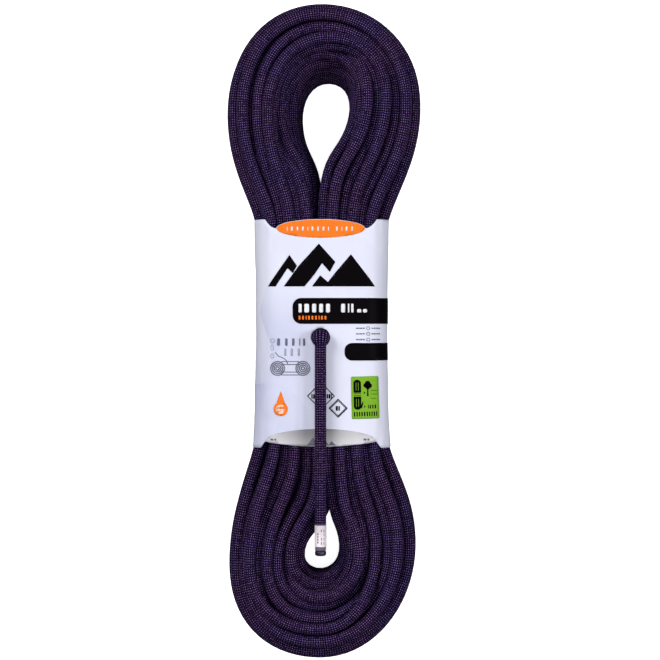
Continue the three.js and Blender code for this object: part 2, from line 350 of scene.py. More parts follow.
# How far each layer's top turn lies below the hank's front face at each anchor, in mm, from the
# innermost layer to the outermost. In the upper loop the layers step down into the eye.
FRONT_DROP = np.array([
    [0, 0, 0, 0, 0, 0, 0],
    [16, 12, 9, 4, 1, 0, 3],
    [32, 24, 16, 7, 0, 3, 5],
    [32, 26, 17, 6, 0, 3, 4],
    [9, 5, 6, 1, 0, 3, 8],
    [3, 0, 4, 0, 2, 0, 4],
    [0, 0, 0, 0, 0, 0, 0],
    [3, 0, 4, 0, 3, 0, 4],
    [5, 1, 0, 6, 0, 2, 7],
    [12, 7, 3, 0, 3, 0, 4],
    [8, 6, 0, 4, 0, 3, 4],
    [4, 0, 3, 0, 4, 0, 3],
])
BACK_DROP = np.array([4, 0, 3, 0, 4, 1, 5])
# How far the layers move over at the same anchors, as a share of the band, to leave the deep grooves.
MOVE_OVER = {
    1: [0, -0.01, -0.02, -0.03, -0.05, 0.02, 0],
    2: [0, -0.02, -0.05, -0.08, -0.12, 0.04, 0],
    3: [0, -0.02, -0.05, -0.08, -0.11, 0.03, 0],
    4: [0, -0.06, 0.06, 0.05, 0.07, 0.05, 0],
    8: [0, -0.03, -0.05, 0.05, 0.0, 0.05, 0],
    10: [0, -0.04, 0.03, -0.03, 0.05, 0.03, 0],
}
STRAY_SIDEWAYS = 0.05
STRAY_UPWARDS = 2.6
POINTS_PER_SPAN = 14
# The anchor in the lower loop where a turn is halfway over to its next lane.
CROSSING = 9
random = np.random.default_rng(11)


def wander():
    """Twelve random numbers, one at each anchor, that change gently from anchor to anchor."""
    raw = random.normal(0, 1, len(ANCHORS))
    return (raw + np.roll(raw, 1) + np.roll(raw, -1)) / 1.8 * SLACK


def lanes():
    """For each turn, its layer and its height from the hank's middle."""
    found = []
    for visit, layer in enumerate(LAYER_ORDER):
        turns = LAYER_TURNS[layer]
        shift = 0.25 if layer % 2 else -0.25
        heights = (np.arange(turns) - (turns - 1) / 2 + shift) * TURN_SPACING
        if layer == 0:
            half = turns // 2
            heights = heights[half:][::-1] if visit == 0 else heights[:half][::-1]
        elif visit % 2:
            heights = heights[::-1]
        found += [(layer, height) for height in heights]
    return found


def dropped(layer, height):
    """The height of a turn at each anchor, from the hank's middle."""
    rise = (height / HALF_RISE + 1) / 2
    return height - rise * FRONT_DROP[:, layer] + (1 - rise) * BACK_DROP[layer] * SLACK


def moved_over(layer):
    """How far a layer's share of the band shifts at each anchor, to leave the grooves."""
    shift = np.zeros(len(ANCHORS))
    for anchor, shares in MOVE_OVER.items():
        shift[anchor] = shares[layer]
    return shift


def back_from_eye(rise, draw, lean):
    """How far the innermost turn stands back, for a rise of -1 at the hank's back and 1 at its front."""
    return draw * rise**2 * 0.5 + lean * (rise + 1) / 2


def draw_back(share, height):
    """How far a turn's share of the band shifts at each anchor, for its height above or below middle."""
    rise = height / HALF_RISE
    inner = back_from_eye(rise, INNER_DRAW, WALL_LEAN)
    return ((1 - share) * inner - share * OUTER_DRAW * abs(rise) ** 3) / BAND_WIDTH


def wound_path():
    """The rope's whole way through the hank, as points in millimetres."""
    turns = []
    for layer, height in lanes():
        share = layer / (len(LAYER_TURNS) - 1)
        inside = 0.4 if share in (0, 1) else 1
        sideways = share + wander() * STRAY_SIDEWAYS * inside + draw_back(share, height)
        sideways = sideways + moved_over(layer)
        upwards = HANK_HEIGHT / 2 + dropped(layer, height) + wander() * STRAY_UPWARDS
        turns.append((sideways, upwards))
    points = []
    t = (np.arange(POINTS_PER_SPAN) / POINTS_PER_SPAN)[:, None]
    ease = t * t * (3 - 2 * t)
    for (share, height), (next_share, next_height) in zip(turns, turns[1:] + turns[-1:]):
        share = np.append(share, next_share[0])
        height = np.append(height, next_height[0])
        for values, following in ((share, next_share), (height, next_height)):
            values[CROSSING] = (values[CROSSING] + following[CROSSING]) / 2
            values[CROSSING + 1 : -1] = following[CROSSING + 1 :]
        for i in range(len(ANCHORS)):
            j = (i + 1) % len(ANCHORS)
            a = INNER[i] + (OUTER[i] - INNER[i]) * share[i]
            b = INNER[j] + (OUTER[j] - INNER[j]) * share[i + 1]
            flat = bezier(t, a[1], a[2], b[0], b[1])
            points.append(np.hstack([flat, height[i] * (1 - ease) + height[i + 1] * ease]))
    return np.concatenate(points)


def step_lengths(points):
    """The distance from each point of a line to the next."""
    return np.linalg.norm(np.diff(points, axis=0), axis=1)


def distances_along(points):
    """How far along a line each of its points is."""
    return np.concatenate([[0], np.cumsum(step_lengths(points))])


def evenly(points, step):
    """The same line with points a fixed step apart."""
    along = distances_along(points)
    wanted = np.linspace(0, along[-1], int(along[-1] / step) + 1)
    return np.column_stack([np.interp(wanted, along, points[:, k]) for k in range(3)])


print(len(lanes()), "turns")

# %% [markdown]
# ## The rope's two ends
#
# One end rises through the sleeve's hole, and the other stays inside the waist, where its label and its
# fused tip are. Both join the winding on smooth curves that the sleeve hides.

# %% Where the winding starts and stops
inner_low, inner_high = box_mm("inner_strand")
INNER_X, INNER_Z = (inner_low + inner_high)[[0, 2]] / 2
INNER_START = inner_low[1]
INNER_END = box_mm("inner_fused_tip")[0][1] - 0.3


def curve_between(start, start_way, end, end_way):
    """Twelve points on a smooth curve that leaves and arrives in the given directions."""
    t = np.linspace(0, 1, 12)[:, None]
    start, end = np.array(start, float), np.array(end, float)
    return bezier(t, start, start + np.array(start_way), end - np.array(end_way), end)


def whole_path():
    """The winding joined to both of the rope's ends, as points in millimetres."""
    winding = wound_path()
    foot = (HOLE[0], HOLE[1], riser_low[2])
    join = 12
    lead_in = curve_between(foot, (0, 0, -12), winding[join], (0, 20, 0))
    leave = len(winding) - int(1.9 * POINTS_PER_SPAN)
    start = (INNER_X, INNER_START, INNER_Z)
    way = winding[leave] - winding[leave - 1]
    lead_out = curve_between(winding[leave], way / np.linalg.norm(way) * 24, start, (0, 24, 0))
    last = np.array([[INNER_X, y, INNER_Z] for y in np.linspace(INNER_START, INNER_END, 20)])
    return np.concatenate([lead_in[:-1], winding[join:leave], lead_out[:-1], last])


print("inner end runs from y", round(INNER_START), "to", round(INNER_END))

# %% [markdown]
# ## Letting the turns settle
#
# The drawn lanes run through each other here and there, as no real rope can. So the line is cut
# into short steps, and whichever points lie closer than a rope's width push each other apart, a little
# at a time. After each push the moves are smoothed along the rope, because a rope bends gently, and the
# floor, the hank's top and the sleeve's wall hold every point in. A k-d tree finds the neighbours.

# %% Settling
STEP = 6.0
SETTLE_ROUNDS = 154
ROUNDS_PER_SEARCH = 11
PUSH = 1.7
TOUCH = ROPE_DIAMETER * 0.995
SHEET_HALF_HEIGHT = (sheet_high[2] - sheet_low[2]) / 2
EDGE_ROUND = 22.0
ROPE_ROOM = 0.7
# The pinch starts this far outside the sleeve's edges and is whole after this much more.
PINCH_START, PINCH_LENGTH = 16, 24
MIDDLE_HALF_WIDTH = 53.0
UPPER_FLARE, LOWER_FLARE = 1.3, 2.2
FLARE_LENGTH = 92
GUIDE_POINTS = 26


def under_sleeve(y):
    """1 under the sleeve, 0 out in the loops, with a smooth change at its two edges."""
    upper = np.clip((sheet_high[1] + PINCH_START - y) / PINCH_LENGTH, 0, 1)
    lower = np.clip((y - sheet_low[1] + PINCH_START) / PINCH_LENGTH, 0, 1)
    share = upper * lower
    return share * share * (3 - 2 * share)


def half_width(y):
    """The sleeve's half width, which is least at its middle."""
    flare = np.where(np.asarray(y) > 0, UPPER_FLARE, LOWER_FLARE)
    return MIDDLE_HALF_WIDTH + flare * np.clip(np.abs(y) / FLARE_LENGTH, 0, 1.05) ** 2


def held_in(points):
    """Moves points that have left the hank back inside it."""
    share = under_sleeve(points[:, 1])
    inset = share * (HANK_HEIGHT / 2 - SHEET_HALF_HEIGHT + ROPE_ROOM)
    low, high = ROPE_RADIUS + inset, HANK_HEIGHT - ROPE_RADIUS - inset
    points[:, 2] = np.clip(points[:, 2], low, high)
    x, z = points[:, 0] - WAIST_X, points[:, 2] - HANK_HEIGHT / 2
    corner = EDGE_ROUND - ROPE_RADIUS - ROPE_ROOM
    core_x = half_width(points[:, 1]) - EDGE_ROUND
    core_z = SHEET_HALF_HEIGHT - EDGE_ROUND
    over_x, over_z = np.maximum(abs(x) - core_x, 0), np.maximum(abs(z) - core_z, 0)
    distance = np.hypot(over_x, over_z)
    out = (share > 0.5) & (distance > corner)
    scale = np.where(out, corner / np.maximum(distance, 1e-9), 1)
    new_x = WAIST_X + np.sign(x) * (np.minimum(abs(x), core_x) + over_x * scale)
    new_z = HANK_HEIGHT / 2 + np.sign(z) * (np.minimum(abs(z), core_z) + over_z * scale)
    points[:, 0] = np.where(out, new_x, points[:, 0])
    points[:, 2] = np.where(out, new_z, points[:, 2])
    return points


def guide_line(handles):
    """Points all along a guide curve, and the direction away from the eyes at each."""
    t = (np.arange(GUIDE_POINTS) / GUIDE_POINTS)[:, None]
    pairs = zip(handles, np.roll(handles, -1, axis=0))
    line = np.concatenate([bezier(t, a[1], a[2], b[0], b[1]) for a, b in pairs])
    ways = np.roll(line, -1, axis=0) - np.roll(line, 1, axis=0)
    ways /= np.linalg.norm(ways, axis=1)[:, None]
    return line, np.column_stack([-ways[:, 1], ways[:, 0]])


def tree_of(points):
    """A k-d tree, which finds the points near a place."""
    tree = KDTree(len(points))
    for i, point in enumerate(points):
        tree.insert(point, i)
    tree.balance()
    return tree


def nearest_on(line, points):
    """For each point, which point of a flat line is nearest."""
    tree = tree_of([(x, y, 0) for x, y in line])
    return np.array([tree.find((x, y, 0))[1] for x, y, _ in points])


INNER_LINE, INNER_AWAY = guide_line(INNER)
OUTER_LINE, OUTER_AWAY = guide_line(OUTER)


def along_guide(values):
    """Values given at the anchors, spread along the guide's points."""
    wide = np.append(values, values[0])
    places = np.arange(len(values) * GUIDE_POINTS) / GUIDE_POINTS
    return np.interp(places, np.arange(len(wide)), wide)


# This near to the hank's middle the two legs lie side by side, and no eye holds them apart.
INNER_FREE = 75.0
INNER_BACK = along_guide(INNER_DRAW)
LEAN_BACK = along_guide(WALL_LEAN)
OUTER_BACK = along_guide(OUTER_DRAW)


def between_guides(points, inner_near, outer_near):
    """Moves points that have left the band between the two guide curves back into it."""
    rise = (points[:, 2] - HANK_HEIGHT / 2) / HALF_RISE
    inner_back = back_from_eye(rise, INNER_BACK[inner_near], LEAN_BACK[inner_near])
    outer_back = OUTER_BACK[outer_near] * abs(rise) ** 3
    for line, away, near, sign, back in (
        (INNER_LINE, INNER_AWAY, inner_near, 1, inner_back),
        (OUTER_LINE, OUTER_AWAY, outer_near, -1, outer_back),
    ):
        past = ((points[:, :2] - line[near]) * away[near]).sum(1) * sign - back
        if sign > 0:
            past[abs(points[:, 1]) < INNER_FREE] = 0
        points[:, :2] -= away[near] * (np.minimum(past, 0) * sign)[:, None]
    return points


def close_pairs(points, reach):
    """Pairs of points nearer than reach, leaving out neighbours on the same stretch of rope."""
    tree = tree_of(points)
    pairs = [(i, j) for i, p in enumerate(points) for _, j, _ in tree.find_range(p, reach) if j > i + 4]
    return np.array(pairs).T


def pushes(points, pairs, count):
    """How far each point is pushed by the ones it overlaps, on average, and the mean overlap."""
    a, b = pairs
    apart = points[a] - points[b]
    distance = np.linalg.norm(apart, axis=1)
    touch = TOUCH * (1 - 0.03 * under_sleeve(points[a, 1]))
    overlap = np.maximum(touch - distance, 0)
    push = apart * (overlap / np.maximum(distance, 1e-6) / 2)[:, None]
    hits = np.bincount(a, overlap > 0, count) + np.bincount(b, overlap > 0, count)
    total = [np.bincount(a, push[:, k], count) - np.bincount(b, push[:, k], count) for k in range(3)]
    return np.column_stack(total) / np.maximum(hits, 1)[:, None], overlap


def smoothed(moves):
    """Each move averaged with those next to it along the rope."""
    result = moves.copy()
    result[2:-2] = (moves[:-4] + 2 * moves[1:-3] + 2 * moves[2:-2] + 2 * moves[3:-1] + moves[4:]) / 8
    return result


def settle(rope, fixed):
    """Pushes the rope's points apart. fixed holds other points, which stay put."""
    start = np.concatenate([rope, fixed])
    points = start.copy()
    count = len(rope)
    pinned = int((INNER_END - INNER_START) / STEP)
    for turn in range(SETTLE_ROUNDS):
        if turn % ROUNDS_PER_SEARCH == 0:
            pairs = close_pairs(points, TOUCH + 2)
            inner_near = nearest_on(INNER_LINE, points[:count])
            outer_near = nearest_on(OUTER_LINE, points[:count])
        push, overlap = pushes(points, pairs, len(points))
        moves = (points - start + PUSH * push)[:count]
        moves = smoothed(smoothed(moves))
        moves[-pinned:] = 0
        moves[:3] = 0
        moved = between_guides(start[:count] + moves, inner_near, outer_near)
        points[:count] = held_in(moved)
    print("overlap left, mm: mean", round(float(overlap.mean()), 3), "most", round(float(overlap.max()), 2))
    worst = points[pairs[0][overlap.argmax()]].round()
    print("places with over 1 mm:", int((overlap > 1).sum()), "of", len(overlap), "worst", worst)
    return points[:count]


riser_line = np.array([[HOLE[0], HOLE[1], z] for z in np.arange(riser_low[2] + 8, HANK_HEIGHT, STEP)])
hank_path = settle(evenly(whole_path(), STEP), riser_line)
hank_length = step_lengths(hank_path).sum()
print("rope in the hank", round(hank_length / 1000, 2), "m in", len(lanes()), "turns")

# %% [markdown]
# ## From a line to a rope
#
# A tube is a flat grid rolled up. The grid's rows become rings round the path, its columns run along
# the rope, and its own flat coordinates become the braid's map: once round, and metres along. The
# rings are turned as little as possible from one to the next, or the braid would twist. Under the sleeve,
# where the rope runs straight and unseen, the rings stand further apart.


# %% Tube maker
# This far inside the sleeve's edges, nothing of the rope is seen.
COVERED = 14


def spaced_rings(points, fine, coarse):
    """The path with rings fine apart in the loops and coarse apart under the sleeve."""
    dense = evenly(points, 1.0)
    hidden = (dense[:, 1] < sheet_high[1] - COVERED) & (dense[:, 1] > sheet_low[1] + COVERED)
    spacing = np.where(hidden, coarse, fine)
    ticks = np.floor(np.cumsum(1 / spacing)).astype(int)
    keep = np.concatenate([[True], np.diff(ticks) > 0])
    keep[-1] = True
    return dense[keep]


def softened(points):
    """A path with its small kinks smoothed out in two rounds, its ends kept."""
    for _ in range(2):
        points[1:-1] = (points[:-2] + 2 * points[1:-1] + points[2:]) / 4
    return points


def ring_frames(points):
    """At each point, two directions across the path that turn as little as possible along it."""
    ways = np.gradient(points, axis=0)
    ways /= np.linalg.norm(ways, axis=1)[:, None]
    across = np.cross(ways[0], (0.3, 0.5, 0.8))
    first = []
    for way in ways:
        across = across - way * across.dot(way)
        across = across / np.linalg.norm(across)
        first.append(across)
    first = np.array(first)
    return first, np.cross(ways, first)


def rope_tube(name, points, radii, sides, ruler=None):
    """A closed tube round the points, in millimetres. Its map, Braid, is measured along the ruler."""
    rings = len(points)
    mesh = bmesh.new()
    mesh.loops.layers.uv.new("Braid")
    bmesh.ops.create_grid(mesh, x_segments=rings - 1, y_segments=sides, size=1, calc_uvs=True)
    obj = mesh_object(name, mesh)
    data = obj.data

    grid = np.empty(len(data.vertices) * 3)
    data.vertices.foreach_get("co", grid)
    grid = (grid.reshape(-1, 3) + 1) / 2
    ring = np.rint(grid[:, 0] * (rings - 1)).astype(int)
    angle = -2 * math.pi * grid[:, 1]
    one, two = ring_frames(points)
    arm = one[ring] * np.cos(angle)[:, None] + two[ring] * np.sin(angle)[:, None]
    place = (points[ring] + arm * radii[ring][:, None]) * MM
    data.vertices.foreach_set("co", place.ravel())

    along = distances_along(points if ruler is None else ruler) * MM
    layer = data.uv_layers["Braid"].data
    uv = np.empty(len(layer) * 2)
    layer.foreach_get("uv", uv)
    uv = uv.reshape(-1, 2)
    uv = np.column_stack([uv[:, 1], along[np.rint(uv[:, 0] * (rings - 1)).astype(int)]])
    layer.foreach_set("uv", uv.ravel())

    mesh = bmesh.new()
    mesh.from_mesh(data)
    bmesh.ops.remove_doubles(mesh, verts=mesh.verts, dist=0.01 * MM)
    rims = [e for e in mesh.edges if e.is_boundary]
    bmesh.ops.holes_fill(mesh, edges=rims, sides=sides + 1)
    for face in mesh.faces:
        face.smooth = True
    mesh.to_mesh(data)
    mesh.free()
    return obj


# %% The hank
HANK_SIDES = 14
hank_rings = softened(spaced_rings(hank_path, fine=6.5, coarse=26))
NECK_RADIUS = ROPE_RADIUS - 0.25
NECK_LENGTH = box_mm("tail_end_label")[1][1] + 1.1 - tube_low[1]
from_end = step_lengths(hank_rings[::-1]).cumsum()[::-1]
hank_radii = np.where(np.append(from_end, 0) < NECK_LENGTH, NECK_RADIUS, ROPE_RADIUS)
hank_rope = rope_tube("hank_rope", hank_rings, hank_radii, HANK_SIDES)
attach(hank_rope, "hank")
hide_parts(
    "hank_upper_loop", "hank_lower_loop", "hank_waist_left", "hank_waist_right", "inner_strand"
)
print(len(hank_rings), "rings,", len(hank_rope.data.polygons), "faces")

# %% [markdown]
# ## The loose tail
#
# The tail comes up through the hole, folds over sharply and lies straight down the sleeve and the lower
# loop. Where it folds, the soft rope flattens and bulges to the sides, so the tube's radius grows there.
# The tail swings and lifts about that fold. The braid opens
# over the knuckle, so its ruler counts a climb there as only part of its length.

# %% Tail
BEND = 3.2
BULGE = (knuckle_high[0] - knuckle_low[0]) / 2 - 0.1
KNUCKLE_SQUEEZE = 0.6
TAIL_SIDES = 32
TAIL_AXIS = HOLE[2]
SHEATH_END = box_mm("tail_sheath")[0][1]


def tail_line():
    """The tail's centreline, its radius at each point, and the ruler on the outside of its bend."""
    riser = [(HOLE[1], z) for z in np.linspace(riser_low[2], TAIL_AXIS - BEND, 32)[:-1]]
    turn = [
        (HOLE[1] - BEND + BEND * math.cos(a), TAIL_AXIS - BEND + BEND * math.sin(a))
        for a in np.linspace(0, math.pi / 2, 9)
    ]
    near = [(HOLE[1] - BEND - d, TAIL_AXIS) for d in np.arange(0.6, 9, 0.6)]
    far = [(y, TAIL_AXIS) for y in np.linspace(near[-1][0] - 1.5, SHEATH_END, 50)]
    line = np.array([(HOLE[0], y, z) for y, z in riser + turn + near + far])
    away = np.hypot(line[:, 1] - HOLE[1], line[:, 2] - TAIL_AXIS)
    ball = np.sqrt(np.maximum(BULGE**2 - away**2, 0))
    radii = np.maximum(ball, ROPE_RADIUS)
    radii[1:-1] = (radii[:-2] + 2 * radii[1:-1] + radii[2:]) / 4
    in_sleeve = np.clip(tube_high[1] - line[:, 1], 0, 1)
    radii = radii - (ROPE_RADIUS - NECK_RADIUS) * in_sleeve
    slope = np.gradient(line, axis=0)
    slope /= np.linalg.norm(slope, axis=1)[:, None]
    outside = line + np.column_stack([slope[:, 0], slope[:, 2], -slope[:, 1]]) * radii[:, None]
    fold = TAIL_AXIS - BEND
    outside[:, 2] = np.minimum(outside[:, 2], fold + (outside[:, 2] - fold) * KNUCKLE_SQUEEZE)
    return line, radii, outside


tail_points, tail_radii, tail_outside = tail_line()
tail_rope = rope_tube("tail_rope", tail_points, tail_radii, TAIL_SIDES, tail_outside)
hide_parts("tail_riser", "tail_knuckle", "tail_sheath")
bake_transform(tail_rope)

# %% [markdown]
# ## Small turned parts
#
# The label, the shrunk tube and the fused tip are all round, so each is a profile spun about the rope's
# axis. The same maker does the tail's end and the hidden end inside the waist.


# %% Turned parts
SPIN_STEPS = 48


def placed(name, mesh, material, body):
    """Turns a finished bmesh, in metres, into a smooth object on a body."""
    for face in mesh.faces:
        face.smooth = True
    obj = mesh_object(name, mesh, material)
    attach(obj, body)
    return obj


def spun(profile, axis_x, axis_z, closed):
    """A profile of (radius, y) points spun about a line along Y. Millimetres in, metres out."""
    mesh = bmesh.new()
    verts = [mesh.verts.new((axis_x + r, y, axis_z)) for r, y in profile]
    pairs = list(zip(verts, verts[1:])) + ([(verts[-1], verts[0])] if closed else [])
    edges = [mesh.edges.new(pair) for pair in pairs]
    bmesh.ops.spin(
        mesh,
        geom=verts + edges,
        cent=(axis_x, 0, axis_z),
        axis=(0, 1, 0),
        angle=2 * math.pi,
        steps=SPIN_STEPS,
        use_merge=True,
    )
    bmesh.ops.remove_doubles(mesh, verts=mesh.verts, dist=0.001)
    bmesh.ops.recalc_face_normals(mesh, faces=mesh.faces)
    bmesh.ops.scale(mesh, verts=mesh.verts, vec=(MM, MM, MM))
    return mesh


def ring_profile(inner, outer, start, end, round_by=0.12):
    """A thin ring's section with eased corners."""
    return [
        (inner, start), (outer - round_by, start), (outer, start + round_by),
        (outer, end - round_by), (outer - round_by, end), (inner, end),
    ]


print("turned-part maker ready")

# %% [markdown]
# ## The braid
#
# The sheath is braided from many fine yarns, and the eye reads it as columns of slanting stitches that
# lean left and right by turns, like a row of arrowheads. Each stitch holds dark yarn and a lilac one.
# The braid's map gives a place round the rope and along it, so the columns are whole steps round it and
# the stitches are whole steps along. Roughness and bump come from the same stitches, and so does a painted
# shade: each stitch's colour darkens towards its edges, into the grooves between stitches.

# %% Braid material
BRAID_COLUMNS = 16
STITCH = 1.95 * MM
STITCH_LEAN = 0.3


def braid_material():
    maker = Maker("purple_braid", sheen_weight=0.02, sheen_roughness=0.4, specular_ior_level=0.05)
    maker.set(sheen_tint=srgb(150, 120, 220))
    place = maker.node("ShaderNodeUVMap", {"uv_map": "Braid"})
    around, along, _ = maker.parts(place)
    column = around * BRAID_COLUMNS
    x = column % 1.0 - 0.5
    side = (column % 2.0 < 1.0) * 2.0 - 1.0
    slanted = along / STITCH + x * side * STITCH_LEAN + side * 0.06
    y = slanted % 1.0 - 0.5
    stitch = (1.0 - x * x * 4.0) * (1.0 - y * y * 4.0)
    rounded = maker.smooth(stitch, 0.05, 0.75)
    thread = (1.0 - maker.smooth((y + 0.06).math("ABSOLUTE"), 0.07, 0.25)) * (
        1.0 - maker.smooth(x.math("ABSOLUTE"), 0.08, 0.26)
    )

    where = maker.object_place()
    patch = maker.smooth(maker.noise(where, 26.0, 2.0), 0.36, 0.64)
    fuzz = maker.noise(where, 900.0, 1.0)
    # Painted shade: the near-black colour fills the grooves at each stitch's edges, where shade falls
    # between stitches.
    stitch_groove_shade = maker.mix(patch, srgb(6, 1, 11), srgb(5, 1, 13))
    yarn = maker.mix(patch, srgb(33, 12, 54), srgb(30, 13, 57))
    lilac = maker.mix(patch, srgb(164, 128, 190), srgb(150, 128, 196))
    yarn_with_groove_shade = maker.mix(rounded, stitch_groove_shade, yarn)
    fleck = thread * maker.smooth(fuzz, 0.25, 0.6) * 0.85
    maker.set(base_color=maker.mix(fleck, yarn_with_groove_shade, lilac))
    maker.set(roughness=0.78 - rounded * 0.16)
    maker.bump(rounded, 0.55, 0.35 * MM)
    return maker.material


braid = braid_material()
for cord in (hank_rope, tail_rope):
    cord.data.materials.append(braid)
print("braid of", BRAID_COLUMNS, "columns")

# %% [markdown]
# ## The sleeve's surface
#
# The sleeve is a sheet wrapped round the pinched waist. Across it, the surface is a rectangle with well
# rounded corners, and its width changes gently along the hank. One formula turns a distance round the
# sheet and a place along it into a point, so that the sheet, its sticker and its prints all agree. Handling
# has crumpled the sheet a little, mostly in one lower corner, and the ropes inside show through faintly.

# %% Sleeve formula
FILM = 0.3
CRUMPLE_SPOT = Vector((-38, -62))


def crumple(s, y):
    """How far the handled sheet stands out at a place, in millimetres."""
    soft = noise.noise(Vector((s / 34, y / 40, 3.7))) * 0.55
    near = math.exp(-((Vector((s, y)) - CRUMPLE_SPOT).length / 34) ** 2)
    facet = noise.voronoi(Vector((s / 17, y / 21, 1.3)))[0]
    crease = min(facet[1] - facet[0], 0.35) * 1.5
    ropes = math.sin(2 * math.pi * s / 9.2 + noise.noise(Vector((s / 60, y / 45, 9))) * 3)
    edge = max(0.0, 1 - min(sheet_high[1] - y, y - sheet_low[1]) / 26)
    return soft + crease * (0.25 + 1.1 * near) + 0.12 * ropes * (0.25 + edge)


def section(s, half):
    """A point of the rounded rectangle and its outward direction, at distance s round from the front."""
    quarter = EDGE_ROUND * math.pi / 2
    flat, tall = half - EDGE_ROUND, 2 * (SHEET_HALF_HEIGHT - EDGE_ROUND)
    t, sign = abs(s), math.copysign(1, s)
    top = SHEET_HALF_HEIGHT
    if t < flat:
        x, z, nx, nz = t, top, 0, 1
    elif t < flat + quarter:
        a = (t - flat) / EDGE_ROUND
        nx, nz = math.sin(a), math.cos(a)
        x, z = flat + EDGE_ROUND * nx, top - EDGE_ROUND + EDGE_ROUND * nz
    elif t < flat + quarter + tall:
        x, z, nx, nz = half, top - EDGE_ROUND - (t - flat - quarter), 1, 0
    elif t < flat + 2 * quarter + tall:
        a = (t - flat - quarter - tall) / EDGE_ROUND
        nx, nz = math.cos(a), -math.sin(a)
        x, z = flat + EDGE_ROUND * nx, -top + EDGE_ROUND + EDGE_ROUND * nz
    else:
        x, z, nx, nz = flat - (t - flat - 2 * quarter - tall), -top, 0, -1
    return x * sign, z, nx * sign, nz


def on_sleeve(s, y, lift=0.0):
    """A point on the sleeve, in metres, lifted off it by some millimetres. s is 0 at the front's middle."""
    x, z, nx, nz = section(s - WAIST_X, float(half_width(y)))
    out = lift + crumple(s, y)
    return Vector((WAIST_X + x + nx * out, y, HANK_HEIGHT / 2 + z + nz * out)) * MM


print("half width", [round(float(half_width(y)), 1) for y in (sheet_low[1], 0, sheet_high[1])])

# %% [markdown]
# ## The sleeve's sheet
#
# The sheet starts as a flat grid. Its top and bottom rows follow the die-cut edges: a raised tongue with a
# notch on each side above, and a shallow arch below. Then the whole grid is wrapped round the waist, given
# its thickness, and drilled for the rope.

# %% Die-cut edges
TONGUE_MIDDLE = -2.6
TONGUE_HALF = 35.5
TONGUE_RISE = 7.4
NOTCH = 10.0
SHOULDER = sheet_high[1] - TONGUE_RISE
ARCH_HALF = 45.0
ARCH_STEP = 4.2
ARCH_RISE = 5.2
ARCH_SAG = 4.0


def half_round(y):
    """The distance from the front's middle line round to the back's."""
    return 2 * (float(half_width(y)) + SHEET_HALF_HEIGHT - 2 * EDGE_ROUND) + EDGE_ROUND * math.pi


def from_middle(s):
    """Distance from the front's or the back's middle line, whichever is nearer."""
    away = abs(s - TONGUE_MIDDLE)
    return min(away, abs(half_round(0) - away))


def top_edge(s):
    away = from_middle(s)
    if away < TONGUE_HALF:
        return SHOULDER + TONGUE_RISE * math.sqrt(1 - (away / TONGUE_HALF) ** 2)
    share = min((away - TONGUE_HALF) / NOTCH, 1)
    return SHOULDER + TONGUE_RISE * share**1.75


def bottom_edge(s):
    away = from_middle(s)
    foot = sheet_low[1]
    if away < ARCH_HALF:
        return foot + ARCH_RISE - ARCH_SAG * (1 - (away / ARCH_HALF) ** 2)
    return foot + ARCH_RISE * max(0.0, 1 - (away - ARCH_HALF) / ARCH_STEP)


print("tongue", round(top_edge(TONGUE_MIDDLE), 1), "notch", round(top_edge(TONGUE_MIDDLE + TONGUE_HALF), 1))


# %% Wrap the sheet
SEAM_X = (tape_low[0] + tape_high[0]) / 2
SEAM_GAP = 0.15
HOLE_RADIUS = 7.6


def across_to_s(across, y):
    """Distance round the sheet for a share of its width. The two side edges meet at the back's seam."""
    middle = WAIST_X - (SEAM_X - WAIST_X)
    return middle + (2 * across - 1) * (half_round(y) - SEAM_GAP)


def sleeve_sheet():
    mesh = bmesh.new()
    mesh.loops.layers.uv.new("Sheet")
    bmesh.ops.create_grid(mesh, x_segments=300, y_segments=56, size=1, calc_uvs=True)
    for vert in mesh.verts:
        across, up = (vert.co.x + 1) / 2, (vert.co.y + 1) / 2
        y = 0.0
        for _ in range(3):
            s = across_to_s(across, y)
            y = bottom_edge(s) * (1 - up) + top_edge(s) * up
        vert.co = on_sleeve(s, y)
    bmesh.ops.recalc_face_normals(mesh, faces=mesh.faces)
    bmesh.ops.solidify(mesh, geom=mesh.faces[:], thickness=FILM * MM)
    return mesh


def drilled(obj, x, y, radius):
    """Cuts a round hole down through the front of an object."""
    cutter_mesh = bmesh.new()
    bmesh.ops.create_cone(
        cutter_mesh, cap_ends=True, segments=64, radius1=radius * MM, radius2=radius * MM, depth=30 * MM
    )
    bmesh.ops.translate(cutter_mesh, verts=cutter_mesh.verts, vec=Vector((x, y, HANK_HEIGHT)) * MM)
    cutter = mesh_object("cutter", cutter_mesh)
    cut = obj.modifiers.new("hole", "BOOLEAN")
    cut.operation = "DIFFERENCE"
    cut.solver = "EXACT"
    cut.object = cutter
    graph = bpy.context.evaluated_depsgraph_get()
    made = bpy.data.meshes.new_from_object(obj.evaluated_get(graph))
    obj.modifiers.clear()
    obj.data = made
    bpy.data.objects.remove(cutter)


